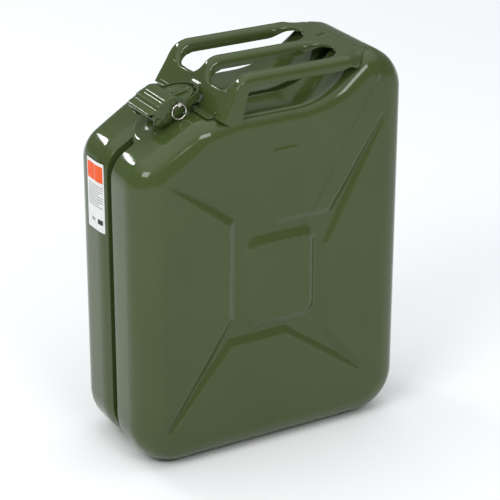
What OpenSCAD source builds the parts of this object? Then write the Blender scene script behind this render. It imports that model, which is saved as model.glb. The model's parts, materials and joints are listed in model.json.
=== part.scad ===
// Pressed steel fuel can, 20 litre, with a lever closure and three carrying bars.
// Millimetres. X is the width with the spout at -X, Y the depth, Z up from the standing face.

/* [Body] */
// Overall width
body_w = 350; // [345:1:356]
// Overall depth over both pressed faces
body_d = 164; // [162:1:168]
// Overall height to the top of the carrying bars
body_h = 463; // [458:1:470]
// Thickness of the body sheet
sheet = 1; // [0.8:0.1:1.2]
// Corner radius at the bottom
foot_r = 55; // [50:1:60]
// Largest rounding between the sides and a face
edge_r = 35; // [32:1:37]
// Offset of the seam from mid depth towards -Y
seam_shift = 12; // [8:1:13]
// Width of the seam groove
groove_w = 10; // [8:1:12]
// Depth of the seam groove
groove_depth = 7; // [5:1:8]

/* [Pressed faces] */
// Depth of the pressed cross
relief_depth = 3.5; // [2:0.5:4]
// Height of the centre of the cross
cross_z = 216; // [205:1:225]
// Half width of the proud centre square
square_hx = 37; // [30:1:40]
// Half height of the proud centre square
square_hz = 50; // [45:1:54]

/* [Handles] */
// Distance from the middle bar to an outer bar
bar_pitch = 70; // [68:1:70]
// Radius of the rounded top of a bar
bar_r = 9; // [8.5:0.5:9]
// Depth of a bar's straight skirts
bar_skirt = 5; // [4:0.5:6]
// Sheet thickness of bars and brackets
bar_t = 1.2; // [1:0.1:1.5]

/* [Closure] */
// Tilt of the mouth from level, in degrees
mouth_tilt = 12; // [10:1:13]
// Inner radius of the mouth
mouth_r = 19; // [18:0.5:19]
// Outer half width of the lever
lever_hw = 27; // [27:0.5:28]
// Sheet thickness of the lever
lever_t = 1.8; // [1.6:0.1:1.8]
// Radius of the lever's hinge pin
hinge_r = 2.5; // [2.2:0.1:2.7]
// Radius of the cap's pin
cap_pin_r = 2.2; // [2:0.1:2.3]
// Radius of the locking pin
lock_r = 1.9; // [1.7:0.1:2]
// Radius of the pull ring
ring_r = 8.6; // [8:0.2:8.6]
// Radius of the pull ring's wire
wire_r = 0.9; // [0.8:0.1:0.9]

/* [Hidden] */
$fn = 64;

half_w = body_w / 2;
half_d = body_d / 2;
shell_top = body_h - 1.5;
valley_z = shell_top - 46.5;
shoulder_z = valley_z - 47.4;
running = 0.05;
steel_green = [0.31, 0.35, 0.25];

// Carrying bars and the web that joins them at the spout end
bar_axis_z = body_h - bar_r;
bend_r = 12;
web_angle = 57.5;
web_x = -41.8;
bend_x = web_x + (bend_r + bar_r) * tan(web_angle / 2);
bar_end = 98;
gap_hw = bar_pitch / 2 - bar_r;
web_top = (bend_r + bar_r) * tan(web_angle / 2);
web_foot = (body_h - valley_z - 1.5) / sin(web_angle);
cut_depth = 24;
rear_top_x = half_w - 47;
rear_plate_t = 1.3;

// Closure frame: origin at the centre of the mouth, x towards the handles, z out of the mouth
mouth_x = -93;
mouth_z = valley_z + 14;
shoulder_run = 80.7;
shoulder_angle = atan((valley_z - shoulder_z) / shoulder_run);
neck_base_x = -111;
neck_base_z = valley_z + (neck_base_x + half_w - shoulder_run) * tan(shoulder_angle);

// Pins of the closure, in the closure frame
hinge_at = [-36, -8.6];
cap_pin_at = [-14, 6.6];
lock_at = [-8.8, 3.3];
ear_in = mouth_r + 3.8;
ear_t = 2;
cap_r = mouth_r + 3.4;
rivets_x = [1, 9];
bail_x = 1.5;
bail_low = -5.5;
bail_high = 4;
eye_y = -lever_hw - 3;
eye_centre = [
    mouth_x + lock_at[0] * cos(mouth_tilt) - lock_at[1] * sin(mouth_tilt),
    eye_y - seam_shift,
    mouth_z + lock_at[0] * sin(mouth_tilt) + lock_at[1] * cos(mouth_tilt)
];

// Body outline in X and Z, counter-clockwise: corner, fillet radius, arc steps, edge steps
corners = [
    [-half_w, 0, foot_r, 10, 2],
    [half_w, 0, foot_r, 10, 2],
    [half_w, body_h - 24.5, 38, 9, 1],
    [half_w - 35.4, shell_top, 30, 4, 1],
    [half_w - 57, shell_top, 22, 5, 1],
    [half_w - 112.4, valley_z, 95, 9, 5],
    [shoulder_run - half_w, valley_z, 45, 5, 2],
    [-half_w, shoulder_z, 38, 8, 2]
];

function unit(v) = v / norm(v);
function xz(c) = [c[0], c[1]];
function wrap(a) = a > 180 ? a - 360 : a < -180 ? a + 360 : a;
function direction(v) = atan2(v[1], v[0]);

// Points of one fillet, each with its outward normal: [x, z, nx, nz]
function fillet(a, b, c, r, steps) =
    let (u = unit(a - b), w = unit(c - b), half = acos(u * w) / 2)
    let (centre = b + unit(u + w) * r / sin(half), t = r / tan(half))
    let (a1 = direction(b + u * t - centre), a2 = direction(b + w * t - centre))
    let (turn = wrap(a2 - a1), side = turn > 0 ? 1 : -1)
    [for (i = [0:steps])
        let (d = [cos(a1 + turn * i / steps), sin(a1 + turn * i / steps)])
        concat(centre + r * d, side * d)];

arcs = [for (i = [0:7])
    fillet(xz(corners[(i + 7) % 8]), xz(corners[i]), xz(corners[(i + 1) % 8]),
        corners[i][2], corners[i][3])];

// Whole outline: every fillet, then evenly spaced points along the edge that follows it
outline = [for (i = [0:7])
    let (m = corners[i][4], p = arcs[i][corners[i][3]], q = arcs[(i + 1) % 8][0])
    each concat(arcs[i], m > 1 ? [for (k = [1:m - 1]) p + (q - p) * k / m] : [])];

// Rounding between side and face, smaller in the valley under the bars
function rounding(p) = p[1] < shoulder_z - 20 ? edge_r
    : lookup(p[0], [[-half_w, edge_r], [-145, 28], [-100, 22], [-70, 14], [60, 14],
        [95, 9], [135, 9], [150, 15], [half_w, edge_r]]);

function inset(p, d) = [p[0] - p[2] * d, p[1] - p[3] * d];

// Ring of the half body: sheet offset t, rounding angle a
function ring(t, a) = [for (p = outline)
    let (r = rounding(p), q = inset(p, t + (r - t) * (1 - cos(a))))
    [q[0], half_d - r + (r - t) * sin(a), q[1]]];

function start_ring(y, t) = [for (p = outline) let (q = inset(p, t)) [q[0], y, q[1]]];

// Solid half of the body from y to the +Y face, drawn in by t
module half_solid(y, t) {
    n = len(outline);
    rings = concat([start_ring(y, t)], [for (a = [0:15:90]) ring(t, a)]);
    last = len(rings) - 1;
    sides = [for (k = [0:last - 1], i = [0:n - 1], j = [0, 1])
        let (a = k * n + i, b = k * n + (i + 1) % n)
        j == 0 ? [a, b, b + n] : [a, b + n, a + n]];
    bottom = [for (i = [0:n - 1]) n - 1 - i];
    top = [for (i = [0:n - 1]) last * n + i];
    polyhedron([for (r = rings) each r], concat(sides, [bottom, top]), convexity = 6);
}

// Flat plate in the X-Z plane with the outline drawn in by d, from y0 to y1
module outline_plate(d, y0, y1) {
    translate([0, y1, 0]) rotate([90, 0, 0]) linear_extrude(y1 - y0)
        polygon([for (p = outline) inset(p, d)]);
}

// Tapered bar of the pressed cross from the centre block to a corner
module cross_arm(x, z, grow) {
    reach = [sign(x - 2) * 56, sign(z - cross_z) * 66];
    hull() {
        translate([2 + reach[0], cross_z + reach[1], 0])
            cylinder(h = 20, r1 = 4.5 + grow, r2 = 24 + grow, $fn = 20);
        translate([x, z, 0]) cylinder(h = 20, r1 = 1.2 + grow, r2 = 18 + grow, $fn = 16);
    }
}

// Block with sloping sides, half sizes hx and hz at its floor
module tapered_block(hx, hz, slope) {
    hull() for (sx = [-1, 1], sz = [-1, 1])
        translate([2 + sx * (hx - 8), cross_z + sz * (hz - 8), 0])
            cylinder(h = 20, r1 = 8, r2 = 8 + slope * 20, $fn = 24);
}

// Everything pressed in from the +Y face, from floor_y outwards
module pressed_cross(floor_y, grow) {
    translate([0, floor_y, 0]) rotate([-90, 0, 0]) mirror([0, 1, 0]) {
        difference() {
            tapered_block(60 + grow, 71 + grow, 1);
            translate([0, 0, -1]) tapered_block(square_hx + 5 - grow, square_hz + 5 - grow, -0.25);
        }
        cross_arm(-134, 352, grow);
        cross_arm(-138, 62, grow);
        cross_arm(122, 392, grow);
        cross_arm(134, 62, grow);
    }
}

// One pressed shell on the +Y side, its inner rim at y
module half_shell(y) {
    difference() {
        half_solid(y, 0);
        difference() {
            half_solid(y + sheet, sheet);
            pressed_cross(half_d - relief_depth - sheet, 0.6);
        }
        pressed_cross(half_d - relief_depth, 0);
        outline_plate(groove_depth + 1, y - 1, y + sheet + 1);
    }
    level_mark();
}

// Short pressed bar that marks the fill level
module level_mark() {
    translate([-8, half_d, 370]) rotate([0, 90, 0]) cylinder(h = 36, r = 1.2, $fn = 24);
}

module front_shell() {
    color(steel_green) difference() {
        mirror([0, 1, 0]) half_shell(seam_shift + groove_w / 2);
        neck_solid(0);
    }
}

module rear_shell() {
    color(steel_green) difference() {
        half_shell(groove_w / 2 - seam_shift);
        neck_solid(0);
    }
}

module seam_band() {
    y0 = -seam_shift - groove_w / 2;
    color(steel_green) difference() {
        outline_plate(groove_depth, y0, y0 + groove_w);
        outline_plate(groove_depth + 1.2, y0 - 1, y0 + groove_w + 1);
        neck_solid(0);
    }
}

// Carrying bars: an inverted U, bent down into the web at the spout end

module bar_envelope() {
    intersection() {
        circle(bar_r);
        translate([-bar_r, 0]) square([2 * bar_r, bar_r]);
    }
    translate([-bar_r, -bar_skirt]) square([2 * bar_r, bar_skirt]);
}

module bar_profile() {
    difference() {
        bar_envelope();
        circle(bar_r - bar_t);
        translate([bar_t - bar_r, -bar_skirt - 1])
            square([2 * (bar_r - bar_t), bar_skirt + 1]);
    }
}

module bar(y) {
    color(steel_green) {
        translate([bend_x, y, bar_axis_z]) rotate([90, 0, 90])
            linear_extrude(bar_end - bend_x) bar_profile();
        translate([bend_x, y, bar_axis_z - bend_r]) rotate([90, 0, 0]) rotate([0, 0, 90])
            rotate_extrude(angle = web_angle) translate([bend_r, 0]) rotate(-90) bar_profile();
    }
}

module handle_bar_front() bar(-bar_pitch);

module handle_bar_middle() bar(0);

module handle_bar_rear() bar(bar_pitch);

// Frame of the web: x runs down the plate, z into the handle
module web_frame() {
    translate([web_x, 0, body_h]) rotate([0, 180 - web_angle, 0]) children();
}

// U-shaped cut between two bars, drawn in by d
module web_cut(d) {
    for (s = [-1, 1]) translate([0, s * bar_pitch / 2]) {
        translate([-10, d - gap_hw]) square([cut_depth - 4, 2 * (gap_hw - d)]);
        translate([-10, 14 - gap_hw]) square([cut_depth + 10 - d, 2 * (gap_hw - 14)]);
        for (t = [-1, 1]) translate([cut_depth - 14, t * (gap_hw - 14)]) circle(14 - d);
    }
}

module web_plate() {
    difference() {
        translate([web_top, -bar_pitch - bar_r])
            square([web_foot - web_top, 2 * (bar_pitch + bar_r)]);
        web_cut(0);
        translate([36, -25]) square([40, 30]);
    }
}

// Lips folded in along the cuts
module web_lips() {
    intersection() {
        difference() {
            translate([web_top, -bar_pitch - bar_r + 1])
                square([cut_depth, 2 * (bar_pitch + bar_r - 1)]);
            web_cut(0);
        }
        web_cut(-bar_t);
    }
}

module side_leg(y) {
    translate([0, y, 0]) rotate([90, 0, 0]) linear_extrude(bar_t)
        polygon([[-48, body_h - 9.7], [-36.2, body_h - 17.2], [-34.5, body_h - 20],
            [-43.5, valley_z - 3], [-68, valley_z - 3], [-71, valley_z + 2]]);
}

module handle_front_bracket() {
    color(steel_green) {
        web_frame() linear_extrude(bar_t) web_plate();
        web_frame() linear_extrude(7) web_lips();
        side_leg(-bar_pitch - bar_r + bar_t);
        side_leg(bar_pitch + bar_r);
        translate([-76.5, -65, valley_z]) cube([7.1, 36, 1.5]);
        translate([-76.5, 20, valley_z]) cube([7.1, 45, 1.5]);
    }
}

// Plate in plan, with the ends of the two hand gaps
module rear_plan() {
    difference() {
        translate([71, -bar_pitch]) square([rear_top_x - 71, 2 * bar_pitch]);
        for (s = [-1, 1]) translate([0, s * bar_pitch / 2]) {
            translate([71, 0]) circle(gap_hw);
            translate([40, -gap_hw]) square([31, 2 * gap_hw]);
        }
    }
}

// Ends of the bars, running out on the slope of the body
module bar_ends() {
    difference() {
        for (s = [-1, 0, 1]) translate([bar_end, s * bar_pitch, bar_axis_z])
            rotate([90, 0, 90]) linear_extrude(rear_top_x - bar_end) bar_profile();
        translate([half_w - 57, -100, shell_top]) rotate([0, 140, 0]) cube([80, 200, 60]);
        translate([half_w - 57.5, -100, 400]) cube([60, 200, shell_top - 400]);
    }
}

module handle_rear_bracket() {
    color(steel_green) {
        difference() {
            translate([0, 0, shell_top]) linear_extrude(rear_plate_t) rear_plan();
            for (s = [-1, 0, 1]) translate([60, s * bar_pitch, bar_axis_z])
                rotate([90, 0, 90]) linear_extrude(bar_end - 60) bar_envelope();
            translate([108, 0, shell_top - 1]) cylinder(h = 3, r = 3);
            translate([108, -0.6, shell_top + 0.7]) cube([60, 1.2, 3]);
        }
        bar_ends();
        intersection() {
            difference() {
                outline_plate(-rear_plate_t, -bar_pitch - 4, bar_pitch + 4);
                outline_plate(0, -200, 200);
                translate([108, -0.6, 300]) cube([60, 1.2, 300]);
            }
            translate([27, 0, 440]) cylinder(h = 40, r = 124, $fn = 96);
            translate([rear_top_x, -100, 440]) cube([40, 200, 40]);
        }
    }
}

module closure_frame() {
    translate([mouth_x, -seam_shift, mouth_z]) rotate([0, -mouth_tilt, 0]) children();
}

// Outside of the pressed neck, drawn in by t
module neck_solid(t) {
    hull() {
        translate([neck_base_x, -seam_shift, neck_base_z]) rotate([0, -shoulder_angle, 0])
            translate([0, 0, -6 - 2 * t]) cylinder(h = 6, r = 29 - t, $fn = 48);
        closure_frame() translate([0, 0, -30 - 2 * t])
            cylinder(h = 22 + 2 * t, r = mouth_r + 2 - t, $fn = 48);
    }
}

module filler_neck() {
    color(steel_green) {
        difference() {
            neck_solid(0);
            neck_solid(1.2);
            closure_frame() translate([0, 0, -12]) cylinder(h = 10, r = mouth_r + 0.5);
        }
        closure_frame() difference() {
            translate([0, 0, -11]) cylinder(h = 10, r = mouth_r + 1);
            translate([0, 0, -12]) cylinder(h = 14, r = mouth_r);
        }
        closure_frame() rotate_extrude() translate([mouth_r + 1, -1]) circle(1);
    }
}

// Pin or bore across the closure frame from y0 to y1
module cross_pin(at, r, y0, y1) {
    translate([at[0], y1, at[1]]) rotate([90, 0, 0]) cylinder(h = y1 - y0, r = r);
}

module ear_plate(y) {
    translate([0, y + ear_t, 0]) rotate([90, 0, 0]) linear_extrude(ear_t) difference() {
        polygon([[-41, -10], [-39.5, -5.6], [-36, -4], [-30, -5], [-22, -3.5], [-16, 1.5],
            [-11, 3], [-6, 7], [-4.5, 6.5], [-3.5, -6], [-2.5, -10], [-8, -11.5], [-24, -16],
            [-34, -17], [-39, -14]]);
        translate(hinge_at) circle(hinge_r + 0.02);
        translate(lock_at) circle(lock_r + 0.35);
        translate(lock_at) rotate(23.6) polygon([[-2.25, 0], [2.25, 0], [2.6, 10], [-5, 10]]);
    }
}

// Two lugs that carry the lever, welded to the sides of the neck
module hinge_ears() {
    color(steel_green) difference() {
        closure_frame() for (y = [ear_in, -ear_in - ear_t]) ear_plate(y);
        neck_solid(0);
    }
}

module breather_tube() {
    color("darkslategray") difference() {
        breather_path(4);
        breather_path(3.2);
    }
}

module breather_path(r) {
    x0 = mouth_x + 14;
    over = r < 4 ? 1 : 0;
    translate([x0, -seam_shift, valley_z - 12]) cylinder(h = 12 + over, r = r);
    translate([x0 + 10, -seam_shift, valley_z - 12]) rotate([-90, 0, 0]) rotate([0, 0, 90])
        rotate_extrude(angle = 90) translate([10, 0]) circle(r);
    translate([x0 + 10, -seam_shift, valley_z - 22]) rotate([0, 90, 0])
        cylinder(h = 170, r = r);
    translate([x0 + 180, -seam_shift, valley_z - 12]) rotate([90, 0, 0]) rotate([0, 0, -90])
        rotate_extrude(angle = 90) translate([10, 0]) circle(r);
    translate([x0 + 190, -seam_shift, valley_z - 12]) cylinder(h = 30 + over, r = r);
}

module hinge_pin() {
    color("silver") closure_frame() {
        cross_pin(hinge_at, hinge_r, -lever_hw - 1.4, lever_hw + 1.4);
        cross_pin(hinge_at, hinge_r + 1.2, lever_hw + 0.3, lever_hw + 1.8);
        cross_pin(hinge_at, hinge_r + 1.2, -lever_hw - 1.8, -lever_hw - 0.3);
    }
}

module cap() {
    color(steel_green) closure_frame() difference() {
        union() {
            translate([0, 0, -3]) cylinder(h = 6.2, r = cap_r);
            translate([0, 0, 3.2]) rotate_extrude() translate([mouth_r - 1, 0]) circle(0.9);
        }
        translate([0, 0, -4]) cylinder(h = 6, r = cap_r - 0.8);
        for (x = rivets_x) translate([x, 0, -5]) cylinder(h = 12, r = 2);
    }
}

// Strap riveted to the cap, rolled into a barrel round the cap's pin
module cap_bracket() {
    color(steel_green) closure_frame() difference() {
        union() {
            translate([cap_pin_at[0] + 1, -7, 3.2]) cube([27, 14, 1.5]);
            cross_pin(cap_pin_at, cap_pin_r + 1.1, -7, 7);
        }
        cross_pin(cap_pin_at, cap_pin_r + running, -8, 8);
        for (x = rivets_x) translate([x, 0, 0]) cylinder(h = 12, r = 2);
    }
}

module cap_rivets() {
    color("silver") closure_frame() for (x = rivets_x) translate([x, 0, 0]) {
        translate([0, 0, -2]) cylinder(h = 7.4, r = 1.98);
        translate([0, 0, 4.7]) cylinder(h = 1.2, r1 = 3.2, r2 = 2.2);
        translate([0, 0, -2]) cylinder(h = 1, r1 = 2.4, r2 = 3.2);
    }
}

module cap_gasket() {
    color("dimgray") closure_frame() difference() {
        cylinder(h = 2, r = mouth_r + 2.4);
        translate([0, 0, -1]) cylinder(h = 4, r = mouth_r - 5);
    }
}

module gasket_retainer() {
    color(steel_green) closure_frame() difference() {
        union() {
            translate([0, 0, -1]) cylinder(h = 1, r = mouth_r - 2);
            cylinder(h = 2, r = mouth_r - 5.1);
        }
        for (x = rivets_x) translate([x, 0, -3]) cylinder(h = 6, r = 2);
    }
}

module cap_pin() {
    color("silver") closure_frame() {
        cross_pin(cap_pin_at, cap_pin_r, -lever_hw - 1, lever_hw + 1);
        cross_pin(cap_pin_at, cap_pin_r + 0.9, lever_hw, lever_hw + 1.2);
        cross_pin(cap_pin_at, cap_pin_r + 0.9, -lever_hw - 1.2, -lever_hw);
    }
}

module lever_side(y) {
    translate([0, y + lever_t, 0]) rotate([90, 0, 0]) linear_extrude(lever_t) difference() {
        polygon([[-41.5, -8], [-40, -11.5], [-36, -12.8], [-26, -12.2], [-14, -10],
            [-5, -7.2], [bail_x, bail_low], [bail_x, bail_high], [-3, 7], [-8, 10.6],
            [-14.6, 12.2], [-31, 8.4], [-35, 4.4], [-38, 2.6], [-41, -2]]);
        translate(hinge_at) circle(hinge_r + running);
        translate(cap_pin_at) circle(cap_pin_r + 0.02);
        if (y < 0) translate(lock_at) circle(lock_r + running);
    }
}

// Pressed top of the lever with the thumb tab
module lever_top() {
    hw = lever_hw;
    translate([0, hw, 0]) rotate([90, 0, 0]) linear_extrude(2 * hw)
        polygon([[-35, 4.4], [-31, 8.4], [-14.6, 12.2], [-8, 10.6], [-8.4, 9.2],
            [-14.7, 10.7], [-30.4, 7], [-34.4, 2.9], [-35, 2.9]]);
    difference() {
        translate([0, hw, 0]) rotate([90, 0, 0]) linear_extrude(2 * hw)
            polygon([[-35, 2.9], [-35, 4.4], [-44.6, 3.6], [-46, 2], [-46, -0.6], [-44.6, -0.6],
                [-44.4, 2.1]]);
        for (s = [-1, 1]) translate([-46.5, s * hw, -2]) rotate([0, 0, 45])
            cube([7, 7, 20], center = true);
    }
}

module lever() {
    color(steel_green) closure_frame() {
        lever_side(-lever_hw);
        lever_side(lever_hw - lever_t);
        lever_top();
        translate([bail_x, 0, bail_low]) linear_extrude(bail_high - bail_low) difference() {
            circle(lever_hw);
            circle(lever_hw - lever_t);
            translate([-60, -40]) square([60, 80]);
        }
    }
}

module locking_pin() {
    color("silver") difference() {
        closure_frame() {
            cross_pin(lock_at, lock_r, eye_y, -ear_in - 0.1);
            cross_pin(lock_at, 2.6, eye_y - 2.4, eye_y + 2.4);
        }
        translate(eye_centre) rotate([0, 90, 0]) cylinder(h = 20, r = 1.5, center = true);
    }
}

module pull_ring() {
    color("silver") translate(eye_centre - [0, 0, ring_r]) rotate([90, 0, 0])
        rotate_extrude() translate([ring_r, 0]) circle(wire_r);
}

module label() {
    color("white") translate([-half_w - 0.3, 0, 272]) cube([0.3, 44, 84]);
}

front_shell();
rear_shell();
seam_band();
handle_front_bracket();
handle_bar_front();
handle_bar_middle();
handle_bar_rear();
handle_rear_bracket();
filler_neck();
hinge_ears();
breather_tube();
hinge_pin();
cap();
cap_bracket();
cap_rivets();
cap_gasket();
gasket_retainer();
cap_pin();
lever();
locking_pin();
pull_ring();
label();
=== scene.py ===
"""Looks for the pressed steel fuel can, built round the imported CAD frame.

Sizes below are in millimetres, except where a name ends in _M or a comment says metres. The
frame is the CAD's: X is the width with the spout at -X, Y the depth with the viewed face at -Y,
and Z is up from the standing face.
"""
import json
import math

import bmesh
import bpy
import numpy as np
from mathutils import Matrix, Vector

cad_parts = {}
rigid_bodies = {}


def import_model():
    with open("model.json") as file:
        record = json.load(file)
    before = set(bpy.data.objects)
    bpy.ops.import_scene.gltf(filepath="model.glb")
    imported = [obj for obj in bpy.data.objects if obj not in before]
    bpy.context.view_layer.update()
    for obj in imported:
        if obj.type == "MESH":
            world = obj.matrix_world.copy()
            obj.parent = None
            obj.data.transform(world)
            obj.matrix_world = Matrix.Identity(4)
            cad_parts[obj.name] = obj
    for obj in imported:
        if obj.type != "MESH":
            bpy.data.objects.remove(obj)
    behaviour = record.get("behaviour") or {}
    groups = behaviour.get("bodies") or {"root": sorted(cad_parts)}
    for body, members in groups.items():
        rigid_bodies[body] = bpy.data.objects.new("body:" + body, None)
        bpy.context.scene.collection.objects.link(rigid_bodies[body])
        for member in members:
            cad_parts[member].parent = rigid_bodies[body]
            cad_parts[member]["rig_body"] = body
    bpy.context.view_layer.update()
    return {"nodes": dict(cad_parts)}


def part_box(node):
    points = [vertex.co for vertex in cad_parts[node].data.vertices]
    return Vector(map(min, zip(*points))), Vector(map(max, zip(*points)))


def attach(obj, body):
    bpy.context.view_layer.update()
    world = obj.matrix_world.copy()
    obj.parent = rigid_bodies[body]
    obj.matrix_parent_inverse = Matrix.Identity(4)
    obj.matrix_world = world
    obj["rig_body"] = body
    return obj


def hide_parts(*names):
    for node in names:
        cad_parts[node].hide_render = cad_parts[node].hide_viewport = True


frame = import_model()
MM = 0.001

# ---------------------------------------------------------------- sizes from the frame


def box_mm(node):
    """Lowest and highest corner of a CAD node, in millimetres."""
    low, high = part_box(node)
    return np.array(low) / MM, np.array(high) / MM


SHELL_LOW, SHELL_HIGH = box_mm("front_shell")
BAND_LOW, BAND_HIGH = box_mm("seam_band")
BAR_LOW, BAR_HIGH = box_mm("handle_bar_middle")
OUTER_BAR_HIGH = box_mm("handle_bar_rear")[1]
LABEL_LOW, LABEL_HIGH = box_mm("label")

HALF_W = SHELL_HIGH[0]
# Height of the raised level mark, which the front shell's box takes in
LEVEL_MARK = 1.2
HALF_D = -SHELL_LOW[1] - LEVEL_MARK
SHELL_TOP = SHELL_HIGH[2]
BAR_TOP = BAR_HIGH[2]
# The valley under the bars, and the shoulder that slopes from it down to the spout's side
VALLEY_DROP, SHOULDER_DROP, SHOULDER_RUN = 46.5, 47.4, 80.7
VALLEY_Z = SHELL_TOP - VALLEY_DROP
SHOULDER_Z = VALLEY_Z - SHOULDER_DROP
SEAM_Y = (BAND_LOW[1] + BAND_HIGH[1]) / 2
GROOVE_HALF = (BAND_HIGH[1] - BAND_LOW[1]) / 2
# Radius between the narrow sides and the faces
EDGE_R = 35.0

BAR_R = (BAR_HIGH[1] - BAR_LOW[1]) / 2
BAR_PITCH = OUTER_BAR_HIGH[1] - BAR_R
# Thickness of the handle's sheet
SHEET = 1.2

# Edges steeper than these degrees stay crisp, on the handle's sheet and on the closure
SHEET_SHARP, CLOSURE_SHARP = 50, 40

# ---------------------------------------------------------------- small helpers


def smooth(t):
    """Smooth step from 0 to 1."""
    t = np.clip(t, 0, 1)
    return t * t * (3 - 2 * t)


def pressed(t, soft=0.3):
    """A step from 0 to 1 with a straight middle and rounded ends, as a press tool leaves."""
    t = np.clip(t, 0, 1)
    rise = 1 / (1 - soft)
    low = rise * t * t / (2 * soft)
    high = 1 - rise * (1 - t) ** 2 / (2 * soft)
    return np.where(t < soft, low, np.where(t > 1 - soft, high, rise * (t - soft / 2)))


def bell(distance, width):
    """A bell curve, 1 at no distance."""
    return np.exp(-(distance / width) ** 2)


def rounded_box(x, z, half_x, half_z, r):
    """Distance to the edge of a rounded rectangle, negative inside."""
    qx, qz = np.abs(x) - half_x + r, np.abs(z) - half_z + r
    outside = np.hypot(np.maximum(qx, 0), np.maximum(qz, 0))
    return outside + np.minimum(np.maximum(qx, qz), 0) - r


def mesh_object(name, verts, faces, material, body="can", nodes=()):
    """A new smooth-shaded piece from vertices in millimetres, riding on a body."""
    mesh = bpy.data.meshes.new(name)
    mesh.from_pydata([tuple(v) for v in np.asarray(verts, float) * MM], [], faces)
    mesh.validate()
    mesh.polygons.foreach_set("use_smooth", [True] * len(mesh.polygons))
    obj = bpy.data.objects.new(name, mesh)
    bpy.context.scene.collection.objects.link(obj)
    mesh.materials.append(material)
    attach(obj, body)
    if nodes:
        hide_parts(*nodes)
    return obj


def apply_modifiers(obj):
    """Bakes the piece's modifiers into its mesh."""
    graph = bpy.context.evaluated_depsgraph_get()
    made = bpy.data.meshes.new_from_object(obj.evaluated_get(graph))
    obj.modifiers.clear()
    obj.data = made
    return obj


def sharpen(obj, degrees):
    """Smooth shading that stays crisp at edges steeper than the angle."""
    mesh = bmesh.new()
    mesh.from_mesh(obj.data)
    for e in mesh.edges:
        e.smooth = len(e.link_faces) == 2 and e.calc_face_angle(0) < math.radians(degrees)
    for f in mesh.faces:
        f.smooth = True
    mesh.to_mesh(obj.data)
    mesh.free()
    return obj


def grid_faces(rows, columns, closed=False):
    """Quads of a grid of rows x columns vertices, joined round the columns when closed."""
    wrap = columns if closed else columns - 1
    return [
        (r * columns + c, r * columns + (c + 1) % columns,
         (r + 1) * columns + (c + 1) % columns, (r + 1) * columns + c)
        for r in range(rows - 1) for c in range(wrap)
    ]


# ---------------------------------------------------------------- materials


class Nodes:
    """Short way to add and join shader nodes."""

    def __init__(self, name):
        self.material = bpy.data.materials.new(name)
        self.material.use_nodes = True
        self.tree = self.material.node_tree
        self.shader = self.tree.nodes["Principled BSDF"]
        self.place = self.add("ShaderNodeTexCoord").outputs["Object"]

    def add(self, kind, **values):
        """A new node with the given attributes."""
        node = self.tree.nodes.new(kind)
        for key, value in values.items():
            setattr(node, key, value)
        return node

    def join(self, source, target):
        self.tree.links.new(source, target)

    def noise(self, scale, detail=2.0, rough=0.5, stretch=None):
        """Noise in object space, its scale per metre."""
        node = self.add("ShaderNodeTexNoise")
        node.inputs["Scale"].default_value = scale
        node.inputs["Detail"].default_value = detail
        node.inputs["Roughness"].default_value = rough
        place = self.place
        if stretch:
            mapping = self.add("ShaderNodeMapping")
            mapping.inputs["Scale"].default_value = stretch
            self.join(place, mapping.inputs["Vector"])
            place = mapping.outputs["Vector"]
        self.join(place, node.inputs["Vector"])
        return node.outputs["Fac"]

    def ramp(self, source, stops):
        """Colours for a factor, from (position, colour) stops."""
        node = self.add("ShaderNodeValToRGB")
        ramp = node.color_ramp
        while len(ramp.elements) < len(stops):
            ramp.elements.new(0.5)
        for element, (position, colour) in zip(ramp.elements, stops):
            element.position = position
            element.color = (*colour, 1)
        self.join(source, node.inputs["Fac"])
        return node.outputs["Color"]

    def span(self, source, low, high, from_low=0.3, from_high=0.7):
        """A factor spread from low to high."""
        node = self.add("ShaderNodeMapRange")
        for key, value in (("From Min", from_low), ("From Max", from_high),
                           ("To Min", low), ("To Max", high)):
            node.inputs[key].default_value = value
        self.join(source, node.inputs["Value"])
        return node.outputs["Result"]

    def bump(self, *layers):
        """Bump from (height, distance in metres, strength) layers, one on the other."""
        before = None
        for height, distance, strength in layers:
            node = self.add("ShaderNodeBump")
            node.inputs["Distance"].default_value = distance
            node.inputs["Strength"].default_value = strength
            self.join(height, node.inputs["Height"])
            if before:
                self.join(before, node.inputs["Normal"])
            before = node.outputs["Normal"]
        self.join(before, self.shader.inputs["Normal"])

    def set(self, **values):
        """Values of the shader's sockets, with _ for a space in the name."""
        for key, value in values.items():
            self.shader.inputs[key.replace("_", " ")].default_value = value


def enamel():
    """Glossy olive stoving enamel on pressed sheet: faint orange peel, waves and dust."""
    m = Nodes("olive_enamel")
    tint = m.ramp(m.noise(9, 3, 0.55), [
        (0.25, (0.0470, 0.0705, 0.0190)), (0.5, (0.0512, 0.0760, 0.0208)),
        (0.75, (0.0552, 0.0818, 0.0230))])
    m.join(tint, m.shader.inputs["Base Color"])
    m.join(m.span(m.noise(24, 4, 0.6), 0.07, 0.13), m.shader.inputs["Roughness"])
    m.bump((m.noise(620, 1.5, 0.4), 0.00006, 0.16), (m.noise(30, 1, 0.4), 0.0008, 0.05))
    m.set(IOR=1.40)
    return m.material


def bare_steel(name, colour, rough_low, rough_high):
    """Zinc-plated steel with drawing marks along the wire and a little tarnish."""
    m = Nodes(name)
    dark = tuple(0.78 * c for c in colour)
    m.join(m.ramp(m.noise(160, 4, 0.6), [(0.3, dark), (0.65, colour)]),
           m.shader.inputs["Base Color"])
    m.join(m.span(m.noise(420, 3, 0.6), rough_low, rough_high), m.shader.inputs["Roughness"])
    m.bump((m.noise(900, 2, 0.5, (1, 8, 1)), 0.00004, 0.25))
    m.set(Metallic=1.0)
    return m.material


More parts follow.
